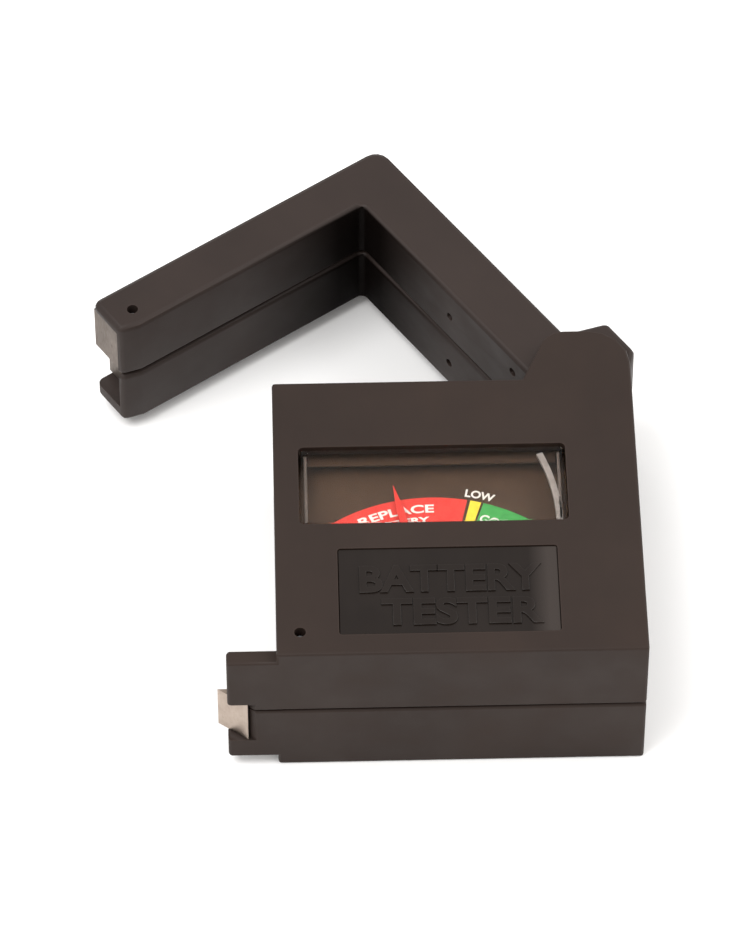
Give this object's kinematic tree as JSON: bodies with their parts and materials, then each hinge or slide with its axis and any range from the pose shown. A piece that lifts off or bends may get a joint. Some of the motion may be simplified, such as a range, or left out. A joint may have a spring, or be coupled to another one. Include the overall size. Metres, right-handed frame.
{
  "type": "battery tester",
  "caption": "Pocket battery tester: a small moving-coil meter in a moulded case with a foot contact and a hinged L-shaped contact arm.",
  "frame": {"origin": "centre of the case's flat rear face, the case measured without its foot and lugs", "axes": "+Z out of the meter face, +Y to the top of the meter face, +X to the meter's right"},
  "size_m": [0.0704, 0.0868, 0.0224],
  "materials": {
    "case_plastic": "fine moulded texture",
    "arm_plastic": "fine moulded texture",
    "panel_plastic": "satin, raised lettering",
    "lens": "clear moulding",
    "contact_metal": "nickel plated",
    "steel": "plain",
    "brass": "plain",
    "spring_bronze": "rolled strip",
    "black_moulding": "moulded",
    "soft_iron": "plain",
    "magnet": "ground",
    "aluminium": "plain",
    "copper": "enamelled winding",
    "pointer_red": "satin paint",
    "dial_card": "printed, matte",
    "laminate": "bare board",
    "resistor_tan": "lacquer",
    "resistor_blue": "lacquer",
    "lead_red": "jacket",
    "lead_black": "jacket"
  },
  "bodies": {
    "body": {"rear_shell": "case_plastic", "front_shell": "case_plastic", "meter_lens": "lens", "name_panel": "panel_plastic", "shell_screw_1": "steel", "shell_screw_2": "steel", "shell_screw_3": "steel", "shell_screw_4": "steel", "foot_contact": "contact_metal", "foot_stake": "steel", "hinge_pin": "steel", "friction_washer": "contact_metal", "hinge_strip": "brass", "meter_chassis": "black_moulding", "chassis_screw_1": "steel", "chassis_screw_2": "steel", "front_bridge": "brass", "bridge_screw_1": "steel", "bridge_screw_2": "steel", "meter_yoke": "soft_iron", "core_magnet": "magnet", "core_bridge": "brass", "rear_jewel_screw": "brass", "front_jewel_screw": "brass", "front_hairspring": "spring_bronze", "rear_hairspring": "spring_bronze", "dial_plate": "dial_card", "dial_screw_1": "steel", "dial_screw_2": "steel", "circuit_board": "laminate", "load_resistor": "resistor_tan", "series_resistor": "resistor_blue", "foot_lead": "lead_black", "hinge_lead": "lead_red", "meter_lead_1": "lead_red", "meter_lead_2": "lead_black"},
    "arm": {"arm_rear_half": "arm_plastic", "arm_front_half": "arm_plastic", "arm_contact": "contact_metal", "arm_stake": "steel", "hub_eyelet": "brass", "arm_lead": "lead_red"},
    "moving_coil": {"coil_former": "aluminium", "coil_winding": "copper", "front_staff": "steel", "rear_staff": "steel", "pointer": "pointer_red", "balance_weight": "steel"}
  },
  "joints": [
    {"name": "arm_swing", "type": "hinge", "parent": "body", "child": "arm", "pos_m": [0.01385, 0.0266, 0.0111], "axis": [0, 0, 1], "range_deg": [-20, 55.2]},
    {"name": "pointer_swing", "type": "hinge", "parent": "body", "child": "moving_coil", "pos_m": [-0.0032, -0.0157, 0.0111], "axis": [0, 0, 1], "range_deg": [-51.4, 28.6]}
  ]
}
